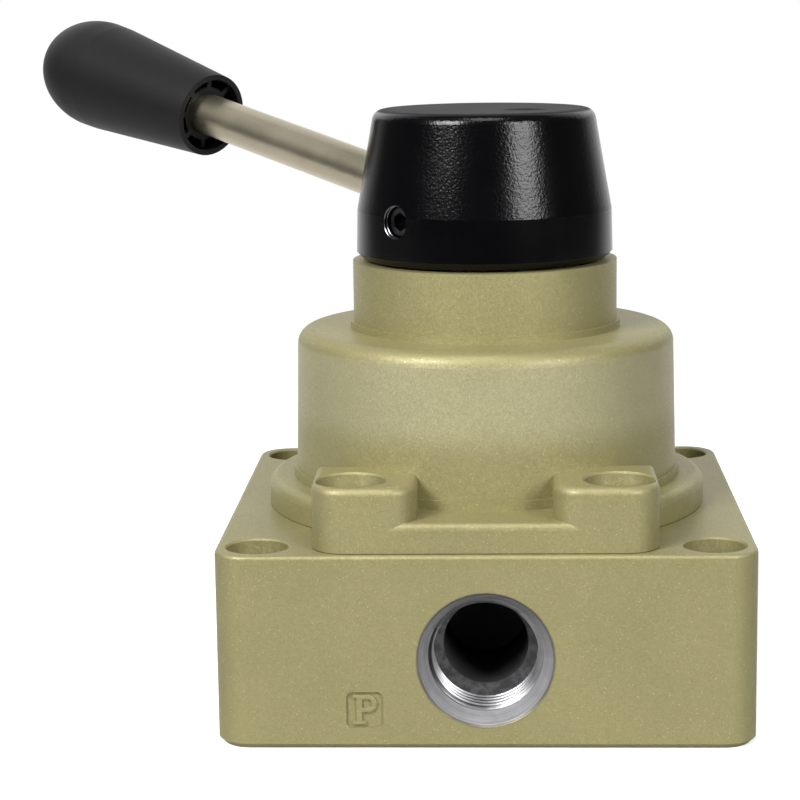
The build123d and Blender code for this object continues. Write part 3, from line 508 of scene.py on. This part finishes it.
def cap_material(finishes):
    """Semi-gloss black with a mottled orange peel, duller on its flat top."""
    material, tree, shader = new_material("black_coating")
    place = object_place(tree)
    height = axes_of(tree, place)["Z"]
    top = smooth_range(tree, height, VALVE_HEIGHT - 0.4 * MM, VALVE_HEIGHT - 0.1 * MM)
    grain = use_group(tree, "Fine Grain", {
        "Colour": rgba(finishes.cap), "Grains per Metre": 4200.0, "Shading": 0.25,
        "Roughness": 0.19, "Spread": 0.12,
    })
    pimples = new_node(tree, "ShaderNodeTexVoronoi",
                       {"Vector": place, "Scale": 2300.0, "Smoothness": 0.7}, feature="SMOOTH_F1")
    relief = maths(tree, "MULTIPLY_ADD", grain["Height"], 0.9, pimples.outputs["Distance"])
    relief = maths(tree, "MULTIPLY_ADD", noise(tree, place, 420.0, 1.0), 0.5, relief)
    relief = maths(tree, "SUBTRACT", relief, 1.0)
    above_band = smooth_range(tree, height, CAP_BAND_TOP - 0.3 * MM, CAP_BAND_TOP + 0.3 * MM,
                              0.15, 1.0)
    relief = maths(tree, "MULTIPLY", relief, above_band)
    tree.links.new(grain["Colour"], shader.inputs["Base Color"])
    rough = maths(tree, "MULTIPLY_ADD", top, 0.42, grain["Roughness"])
    tree.links.new(rough, shader.inputs["Roughness"])
    shader.inputs["Specular IOR Level"].default_value = BLACK_SPECULAR
    bump_into(tree, shader, relief, 0.000021)
    return material


def grip_material(finishes):
    """Satin moulded plastic with a fine grain."""
    material, tree, shader = new_material("moulded_grip")
    grain = use_group(tree, "Fine Grain", {
        "Colour": rgba(finishes.grip), "Grains per Metre": 5200.0, "Shading": 0.3,
        "Roughness": 0.5, "Spread": 0.12,
    })
    colour_into(tree, shader, grain)
    shader.inputs["Specular IOR Level"].default_value = BLACK_SPECULAR
    bump_into(tree, shader, grain["Height"], 0.000015)
    return material


def drawn_rod_material(finishes):
    """Satin nickel with drawing lines along the rod."""
    material, tree, shader = new_material("satin_nickel")
    place = object_place(tree)
    turn = LEVER_DIRECTION.to_track_quat("Z", "Y").inverted().to_euler()
    along = new_node(tree, "ShaderNodeMapping", {"Vector": place, "Rotation": turn}).outputs[0]
    stretched = vector_maths(tree, "MULTIPLY", {0: along, 1: (1, 1, 0.04)})
    lines = noise(tree, stretched, 5000.0, 3.0)
    grain = use_group(tree, "Fine Grain", {
        "Colour": rgba(finishes.nickel), "Grains per Metre": 2500.0, "Shading": 0.22,
        "Roughness": 0.35, "Spread": 0.16,
    })
    colour_into(tree, shader, grain)
    shader.inputs["Metallic"].default_value = 1.0
    bump_into(tree, shader, lines, 0.000006)
    return material


def metal_material(name, colour, roughness, grains, relief):
    """A plated, ground or oxidised metal."""
    material, tree, shader = new_material(name)
    grain = use_group(tree, "Fine Grain", {
        "Colour": rgba(colour), "Grains per Metre": grains, "Shading": 0.25,
        "Roughness": roughness, "Spread": 0.14,
    })
    colour_into(tree, shader, grain)
    shader.inputs["Metallic"].default_value = 1.0
    bump_into(tree, shader, grain["Height"], relief)
    return material


def soft_material(name, colour, roughness):
    """Rubber or machined plastic."""
    material, tree, shader = new_material(name)
    grain = use_group(tree, "Fine Grain", {
        "Colour": rgba(colour), "Grains per Metre": 3000.0, "Shading": 0.2,
        "Roughness": roughness, "Spread": 0.1,
    })
    colour_into(tree, shader, grain)
    bump_into(tree, shader, grain["Height"], 0.00001)
    return material


def thread_material(finishes):
    """Bright cut metal of the port threads, marked along its turns, with painted shade in the roots."""
    material, tree, shader = new_material("cut_aluminium")
    zone = use_group(tree, "Port Zone", {
        "Height": PORT_HEIGHT, "Radius": PORT_THREAD_R, "Reach": FACE_REACH,
    })
    metal = use_group(tree, "Turning Marks", {
        "Measure": maths(tree, "ADD", zone["Radius"], zone["Depth"]), "Rings per Metre": 7000.0,
        "Colour": rgba(CUT_THREAD), "Roughness": 0.36, "Spread": 0.35,
    })
    # Painted shade: the roots of the turns are darkened, standing for the shade between them.
    root = smooth_range(tree, zone["Radius"], *ROOT_SHADE_R)
    root = maths(tree, "MULTIPLY", root, smooth_range(tree, zone["Depth"], *ROOT_SHADE_DEPTH))
    root = maths(tree, "MULTIPLY_ADD", root, -0.88, 1.0)
    tree.links.new(shaded(tree, metal["Colour"], root), shader.inputs["Base Color"])
    tree.links.new(metal["Roughness"], shader.inputs["Roughness"])
    shader.inputs["Metallic"].default_value = 0.9
    bump_into(tree, shader, metal["Height"], 0.00001)
    return material


def dress(nodes, material):
    """Give the named CAD nodes one material."""
    for name in nodes:
        slots = frame["nodes"][name].data.materials
        slots.clear()
        slots.append(material)


# ======== mesh helpers ========

def finished_object(name, mesh_data, material, body):
    """Turn a bmesh into a piece that rides on a body and takes its finish from a slot."""
    bmesh.ops.remove_doubles(mesh_data, verts=mesh_data.verts, dist=0.000001)
    bmesh.ops.recalc_face_normals(mesh_data, faces=mesh_data.faces)
    mesh = bpy.data.meshes.new(name)
    mesh_data.to_mesh(mesh)
    mesh_data.free()
    mesh.materials.append(material)
    mesh.shade_smooth()
    mesh.set_sharp_from_angle(angle=radians(30))
    piece = bpy.data.objects.new(name, mesh)
    bpy.context.scene.collection.objects.link(piece)
    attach(piece, body)
    return piece


def place_on_face(outward, origin):
    """A frame on an upright face: x to the right as seen from outside, y up, z out of the face."""
    outward = Vector(outward).normalized()
    up = Vector((0, 0, 1))
    turn = Matrix((up.cross(outward), up, outward)).transposed().to_4x4()
    return Matrix.Translation(origin) @ turn


# Shape of a thread turn: the run of a flank in heights, and half the crest's width and the sink
# of the root in the wall in pitches. The first turn comes out of the wall over 1 / LEAD pitches
# of depth, and the last one goes back into it over half as much.
FLANK_RUN = 0.6
HALF_CREST = 0.07
ROOT_SINK = 0.02
LEAD = 1.5
PORT_THREAD_STEPS = 72
SCREW_THREAD_STEPS = 40


def helix_turns(major_r, height, pitch, start, end, steps):
    """Thread turns that stand in from a hole's wall and begin and end flush with it.

    The hole opens at z = 0 and runs down -z.
    """
    work = bmesh.new()
    flank = height * FLANK_RUN
    crest = pitch * HALF_CREST
    root = major_r + pitch * ROOT_SINK
    first = -(start + flank + crest)
    profile = [(root, flank + crest), (major_r - height, crest), (major_r - height, -crest),
               (root, -flank - crest)]
    corners = [work.verts.new((radius, 0, first + rise)) for radius, rise in profile]
    edges = [work.edges.new((corners[i], corners[i - 1])) for i in range(len(corners))]
    turns = (end - start - 2 * (flank + crest)) / pitch
    total = int(turns * steps)
    spun = bmesh.ops.spin(
        work, geom=corners + edges, cent=(0, 0, 0), axis=(0, 0, 1), dvec=(0, 0, -pitch / steps),
        angle=-radians(360) * total / steps, steps=total, use_duplicate=False,
    )
    last_edges = [item for item in spun["geom_last"] if isinstance(item, bmesh.types.BMEdge)]
    bmesh.ops.contextual_create(work, geom=edges)
    bmesh.ops.contextual_create(work, geom=last_edges)
    lead = LEAD * height / pitch
    for corner in work.verts:
        depth = -corner.co.z
        lowest = max(major_r - height, major_r - (depth - start) * lead,
                     major_r - (end - depth) * 2 * lead)
        radius = corner.co.xy.length
        if radius < lowest:
            corner.co.xy *= min(lowest, root) / radius
    return work


# Outlines of the letters in units of their height, as is the width of their bevelled edge.
# A pair is a straight line to that point, and three numbers are an arc: its centre and its turn
# in degrees.
STEM_TOP = [(0, 1), (0, 0.89), (0.13, 0.89), (0.13, 0.11), (0, 0.11), (0, 0)]
LETTERS = {
    "P": [
        [(0, 0), (0.46, 0), (0.46, 0.11), (0.32, 0.11), (0.32, 0.42), (0.52, 0.42), (0.52, 0.71, 180)]
        + STEM_TOP,
        [(0.32, 0.57), (0.50, 0.57), (0.50, 0.71, 180), (0.32, 0.85), (0.32, 0.57)],
    ],
    "R": [
        [(0, 0), (0.46, 0), (0.46, 0.11), (0.32, 0.11), (0.32, 0.42), (0.40, 0.42), (0.62, 0),
         (0.86, 0), (0.86, 0.11), (0.78, 0.11), (0.60, 0.4314), (0.52, 0.71, 164)]
        + STEM_TOP,
        [(0.32, 0.57), (0.50, 0.57), (0.50, 0.71, 180), (0.32, 0.85), (0.32, 0.57)],
    ],
    "B": [
        [(0, 0), (0.54, 0), (0.54, 0.28, 150), (0.50, 0.75, 150)]
        + STEM_TOP,
        [(0.32, 0.13), (0.52, 0.13), (0.52, 0.275, 180), (0.32, 0.42), (0.32, 0.13)],
        [(0.32, 0.60), (0.49, 0.60), (0.49, 0.735, 180), (0.32, 0.87), (0.32, 0.60)],
    ],
    "A": [
        [(0, 0), (0.34, 0), (0.34, 0.1), (0.26, 0.1), (0.31, 0.26), (0.59, 0.26), (0.64, 0.1),
         (0.56, 0.1), (0.56, 0), (0.90, 0), (0.90, 0.1), (0.82, 0.1), (0.54, 1), (0.36, 1),
         (0.08, 0.1), (0, 0.1), (0, 0)],
        [(0.35, 0.38), (0.55, 0.38), (0.45, 0.72), (0.35, 0.38)],
    ],
}
ARC_STEPS = 14
LETTER_EDGE = 0.014


def draw_outline(work, moves):
    """Draw one closed outline with a pen that steps and turns."""
    pen = work.verts.new((*moves[0], 0))
    for move in moves[1:]:
        if len(move) == 3:
            arc = bmesh.ops.spin(
                work, geom=[pen], cent=(move[0], move[1], 0), axis=(0, 0, 1), dvec=(0, 0, 0),
                angle=radians(move[2]), steps=ARC_STEPS, use_duplicate=False,
            )
            pen = [item for item in arc["geom_last"] if isinstance(item, bmesh.types.BMVert)][0]
        else:
            step = bmesh.ops.extrude_vert_indiv(work, verts=[pen])
            pen = step["verts"][0]
            pen.co = (*move, 0)


def letter_solid(letter, height, relief):
    """A raised slab letter, centred on its sunk square, standing on z = 0."""
    work = bmesh.new()
    for moves in LETTERS[letter]:
        draw_outline(work, moves)
    bmesh.ops.remove_doubles(work, verts=work.verts, dist=0.001)
    bmesh.ops.triangle_fill(work, edges=work.edges, use_beauty=True, use_dissolve=False,
                            normal=(0, 0, 1))
    raised = bmesh.ops.extrude_face_region(work, geom=work.faces[:])
    top = [item for item in raised["geom"] if isinstance(item, bmesh.types.BMVert)]
    bmesh.ops.translate(work, verts=top, vec=(0, 0, relief / height))
    bmesh.ops.recalc_face_normals(work, faces=work.faces)
    rim = [edge for edge in work.edges
           if edge.verts[0].co.z > 0 and edge.verts[1].co.z > 0 and edge.calc_face_angle(0) > 1]
    bmesh.ops.bevel(work, geom=rim, offset=LETTER_EDGE, offset_type="OFFSET", segments=2,
                    profile=0.5, affect="EDGES", material=-1)
    widest = max(corner.co.x for corner in work.verts)
    bmesh.ops.translate(work, verts=work.verts, vec=(-widest / 2, -0.5, 0))
    bmesh.ops.scale(work, verts=work.verts, vec=(height, height, height))
    return work


# ======== operators ========

class VALVE_OT_finish_housing(bpy.types.Operator):
    """Paint the housing and finish the pieces inside it"""
    bl_idname = "valve.finish_housing"
    bl_label = "Housing Finish"

    def execute(self, context):
        build_shared_effects()
        finishes = context.scene.valve_finishes
        dress(["valve_body", "bonnet"], paint_material(finishes))
        ground = metal_material("ground_steel", GROUND, 0.22, 2500.0, 0.000003)
        dress(["port_plate", "port_plate_dowels", "detent_plate", "stop_pin"], ground)
        rubber = soft_material("nitrile_rubber", NITRILE, 0.55)
        dress(["port_plate_seals", "body_seal", "dust_seal"], rubber)
        zinc = metal_material("zinc_plate", ZINC, 0.3, 1800.0, 0.000005)
        dress(["bonnet_screws", "screw_washers"], zinc)
        dress(["spindle_bush"], metal_material("sintered_bronze", BRONZE, 0.42, 6000.0, 0.00001))
        dress(["thrust_washer"], soft_material("acetal", ACETAL, 0.4))
        return {"FINISHED"}


class VALVE_OT_finish_lever(bpy.types.Operator):
    """Finish the cap, rod and grip, and the pieces that turn with them"""
    bl_idname = "valve.finish_lever"
    bl_label = "Lever Finish"

    def execute(self, context):
        finishes = context.scene.valve_finishes
        materials = bpy.data.materials
        dress(["cap"], cap_material(finishes))
        dress(["grip"], grip_material(finishes))
        dress(["lever_rod"], drawn_rod_material(finishes))
        oxide = metal_material("black_oxide", BLACK_OXIDE, 0.3, 2600.0, 0.000006)
        dress(["cap_set_screw", "retaining_ring"], oxide)
        dress(["spindle", "detent_hub", "detent_ball_1", "detent_ball_2"], materials["ground_steel"])
        dress(["spindle_o_rings"], materials["nitrile_rubber"])
        dress(["rotor_spring", "detent_springs"], materials["zinc_plate"])
        dress(["grip_insert"], materials["sintered_bronze"])
        dress(["rotor_disc"], materials["acetal"])
        return {"FINISHED"}


# Degrees round the port at which its thread starts, so that both ends lie in the upper half.
FIRST_TURN = 150


class VALVE_OT_port_threads(bpy.types.Operator):
    """Cut the thread turns of the four ports"""
    bl_idname = "valve.port_threads"
    bl_label = "Port Threads"

    def execute(self, context):
        threads = context.scene.valve_threads
        metal = thread_material(context.scene.valve_finishes)
        for port in ports:
            outward = Vector(port["axis"])
            work = helix_turns(PORT_THREAD_R, threads.port_height, threads.port_pitch,
                               threads.port_start, threads.port_end, PORT_THREAD_STEPS)
            face = outward * FACE_REACH + Vector((0, 0, PORT_HEIGHT))
            place = place_on_face(outward, face) @ Matrix.Rotation(radians(FIRST_TURN), 4, "Z")
            bmesh.ops.transform(work, matrix=place, verts=work.verts)
            finished_object(port["name"] + "_thread", work, metal, "housing")
        return {"FINISHED"}


class VALVE_OT_port_letters(bpy.types.Operator):
    """Raise each port's letter in the sunk square beside it"""
    bl_idname = "valve.port_letters"
    bl_label = "Port Letters"

    def execute(self, context):
        letters = context.scene.valve_letters
        paint = bpy.data.materials["champagne_paint"]
        for port in ports:
            letter = port["name"][-1].upper()
            outward = Vector(port["axis"])
            work = letter_solid(letter, letters.height, letters.relief)
            face = outward * (FACE_REACH - letters.sink) + Vector((0, 0, PORT_HEIGHT))
            place = place_on_face(outward, face)
            place = place @ Matrix.Translation((-letters.beside, -letters.below, 0))
            bmesh.ops.transform(work, matrix=place, verts=work.verts)
            finished_object("letter_" + letter.lower(), work, paint, "housing")
        return {"FINISHED"}


# Play of the set screw in its hole, how deep in the hole its bright turns start, and how far they
# go on behind the screw's outer end.
SCREW_PLAY = 0.05 * MM
SCREW_THREAD_START = 0.15 * MM
SCREW_THREAD_BEHIND = 0.1 * MM


class VALVE_OT_screw_hole_turns(bpy.types.Operator):
    """Cut the bright turns of the set screw's hole in the cap"""
    bl_idname = "valve.screw_hole_turns"
    bl_label = "Set Screw Hole"

    def execute(self, context):
        threads = context.scene.valve_threads
        outward = Vector((SCREW_CENTRE.x, SCREW_CENTRE.y, 0)).normalized()
        screw = frame["nodes"]["cap_set_screw"].data.vertices
        screw_reach = max(corner.co.dot(outward) for corner in screw)
        screw_r = (screw_high.z - screw_low.z) / 2 + SCREW_PLAY
        band_reach = cap_high.x
        work = helix_turns(screw_r, threads.screw_height, threads.screw_pitch, SCREW_THREAD_START,
                           band_reach - screw_reach + SCREW_THREAD_BEHIND, SCREW_THREAD_STEPS)
        mouth = outward * band_reach + Vector((0, 0, SCREW_CENTRE.z))
        bmesh.ops.transform(work, matrix=place_on_face(outward, mouth), verts=work.verts)
        bright = metal_material("cut_zinc", DULL_ZINC, 0.25, 2500.0, 0.000004)
        finished_object("set_screw_hole_turns", work, bright, "lever")
        return {"FINISHED"}


# The camera's place in metres, and its turns in degrees.
CAMERA_PLACE = (0.001885, -0.360149, 0.109452)
CAMERA_YAW = 2.432
CAMERA_PITCH = 10.291
CAMERA_ROLL = -0.753
# Each lamp: name, degrees to the right of the front, degrees up, width, height, power property.
LAMPS = (
    ("left_softbox", -40, 37, 0.34, 0.40, "left_power"),
    ("right_softbox", 40, 25, 0.34, 0.40, "right_power"),
    ("top_softbox", 0, 70, 0.34, 0.40, "top_power"),
    ("back_left_softbox", -140, 35, 0.6, 0.6, "back_power"),
    ("back_right_softbox", 140, 35, 0.6, 0.6, "back_power"),
)
LAMP_DISTANCE = 0.9
FILM_WIDTH_MM = 36
# How far round to the back a direction points where the white wall fades in and where it is full.
BACK_WALL = (0.36, 1.0)
# Distances from the valve's foot at which the floor runs into the white room.
FLOOR_FADE = (0.16, 0.5)


def floor_material():
    """White floor that takes the valve's shadow near it and runs into the white room further out."""
    material, tree, shader = new_material("stage_floor")
    tree.nodes.remove(shader)
    place = object_place(tree)
    away = vector_maths(tree, "LENGTH", {0: place}, "Value")
    behind = axes_of(tree, vector_maths(tree, "NORMALIZE", {0: place}))["Y"]
    seen = new_node(tree, "ShaderNodeLightPath").outputs
    mirrored = maths(tree, "MAXIMUM", seen["Is Glossy Ray"], seen["Is Transmission Ray"])
    mirrored = maths(tree, "MULTIPLY", mirrored, smooth_range(tree, behind, *BACK_WALL))
    direct = maths(tree, "MAXIMUM", seen["Is Camera Ray"], mirrored)
    tint = mix_colour(tree, noise(tree, place, 9.0), (0.80, 0.80, 0.80, 1), (0.83, 0.83, 0.83, 1))
    tint = mix_colour(tree, seen["Is Camera Ray"], (0.45, 0.45, 0.45, 1), tint)
    matte = new_node(tree, "ShaderNodeBsdfDiffuse", {"Color": tint}).outputs[0]
    lift = new_node(tree, "ShaderNodeEmission", {"Strength": maths(tree, "MULTIPLY", direct, 0.5)})
    near = new_node(tree, "ShaderNodeAddShader", {0: matte, 1: lift.outputs[0]}).outputs[0]
    white = new_node(tree, "ShaderNodeEmission", {"Strength": 1.0}).outputs[0]
    far = maths(tree, "MULTIPLY", direct, smooth_range(tree, away, *FLOOR_FADE))
    surface = new_node(tree, "ShaderNodeMixShader", {0: far, 1: near, 2: white}).outputs[0]
    tree.links.new(surface, tree.nodes["Material Output"].inputs["Surface"])
    return material


def build_room(level):
    """A white wall behind the valve, a pale ceiling, and dark walls in front and at the sides."""
    world = bpy.data.worlds.new("studio_room")
    bpy.context.scene.world = world
    world.use_nodes = True
    tree = world.node_tree
    background = tree.nodes["Background"]
    towards = new_node(tree, "ShaderNodeTexCoord").outputs["Generated"]
    axes = axes_of(tree, towards)
    back = smooth_range(tree, axes["Y"], *BACK_WALL)
    ceiling = smooth_range(tree, axes["Z"], 0.3, 0.9)
    sides = smooth_range(tree, axes["Y"], -0.6, 0.4, 0.02, 0.09)
    glossy_room = maths(tree, "MULTIPLY_ADD", ceiling, 0.06, sides)
    glossy_room = maths(tree, "MAXIMUM", glossy_room, back)
    seen = new_node(tree, "ShaderNodeLightPath").outputs
    mirrored = maths(tree, "MAXIMUM", seen["Is Glossy Ray"], seen["Is Transmission Ray"])
    room = new_node(tree, "ShaderNodeMix", {0: mirrored, 2: level, 3: glossy_room}).outputs[0]
    strength = new_node(tree, "ShaderNodeMix", {0: seen["Is Camera Ray"], 2: room, 3: 1.0}).outputs[0]
    tree.links.new(strength, background.inputs["Strength"])
    background.inputs["Color"].default_value = (1, 1, 1, 1)


class VALVE_OT_stage(bpy.types.Operator):
    """Lay the floor, hang the lamps, and set up the room and the camera"""
    bl_idname = "valve.stage"
    bl_label = "Stage"

    def execute(self, context):
        stage = context.scene.valve_stage
        scene = context.scene
        work = bmesh.new()
        bmesh.ops.create_grid(work, x_segments=1, y_segments=1, size=stage.floor_size / 2)
        bmesh.ops.translate(work, verts=work.verts, vec=(0, stage.floor_size / 2 - stage.floor_front, 0))
        mesh = bpy.data.meshes.new("floor")
        work.to_mesh(mesh)
        work.free()
        mesh.materials.append(floor_material())
        floor = bpy.data.objects.new("floor", mesh)
        scene.collection.objects.link(floor)

        centre = Vector((0, 0, VALVE_HEIGHT / 2))
        for name, right, up, width, height, power in LAMPS:
            lamp = bpy.data.lights.new(name, "AREA")
            lamp.shape = "RECTANGLE"
            lamp.size = width
            lamp.size_y = height
            lamp.energy = getattr(stage, power)
            holder = bpy.data.objects.new(name, lamp)
            away = Vector((sin(radians(right)) * cos(radians(up)),
                           -cos(radians(right)) * cos(radians(up)), sin(radians(up))))
            holder.location = centre + away * LAMP_DISTANCE
            holder.rotation_euler = away.to_track_quat("Z", "Y").to_euler()
            holder.visible_camera = False
            scene.collection.objects.link(holder)

        build_room(stage.room)
        camera = bpy.data.cameras.new("camera")
        camera.lens = stage.lens
        camera.sensor_width = FILM_WIDTH_MM
        camera.clip_start = 0.01
        viewer = bpy.data.objects.new("camera", camera)
        viewer.matrix_world = (
            Matrix.Translation(CAMERA_PLACE)
            @ Matrix.Rotation(radians(CAMERA_YAW), 4, "Z")
            @ Matrix.Rotation(radians(90 - CAMERA_PITCH), 4, "X")
            @ Matrix.Rotation(radians(CAMERA_ROLL), 4, "Z")
        )
        scene.collection.objects.link(viewer)
        scene.camera = viewer
        scene.view_settings.view_transform = "Standard"
        return {"FINISHED"}


class VALVE_PT_panel(bpy.types.Panel):
    """Lists the steps that dress the valve"""
    bl_label = "Air Valve"
    bl_idname = "VALVE_PT_panel"
    bl_space_type = "VIEW_3D"
    bl_region_type = "UI"
    bl_category = "Air Valve"

    def draw(self, context):
        for step in STEPS:
            self.layout.operator(step.bl_idname)
        for settings in SETTINGS:
            group = getattr(context.scene, settings)
            box = self.layout.box()
            for name in group.bl_rna.properties.keys():
                if name not in ("name", "rna_type"):
                    box.prop(group, name)


STEPS = (
    VALVE_OT_finish_housing,
    VALVE_OT_finish_lever,
    VALVE_OT_port_threads,
    VALVE_OT_port_letters,
    VALVE_OT_screw_hole_turns,
    VALVE_OT_stage,
)
SETTINGS = {
    "valve_finishes": ValveFinishes,
    "valve_threads": ValveThreads,
    "valve_letters": ValveLetters,
    "valve_stage": ValveStage,
}


def register():
    for settings, group in SETTINGS.items():
        bpy.utils.register_class(group)
        setattr(bpy.types.Scene, settings, bpy.props.PointerProperty(type=group))
    for step in STEPS:
        bpy.utils.register_class(step)
    bpy.utils.register_class(VALVE_PT_panel)


def unregister():
    bpy.utils.unregister_class(VALVE_PT_panel)
    for step in reversed(STEPS):
        bpy.utils.unregister_class(step)
    for settings, group in reversed(SETTINGS.items()):
        delattr(bpy.types.Scene, settings)
        bpy.utils.unregister_class(group)


def main():
    register()
    bpy.ops.valve.finish_housing()
    bpy.ops.valve.finish_lever()
    bpy.ops.valve.port_threads()
    bpy.ops.valve.port_letters()
    bpy.ops.valve.screw_hole_turns()
    bpy.ops.valve.stage()


if __name__ == "__main__":
    main()
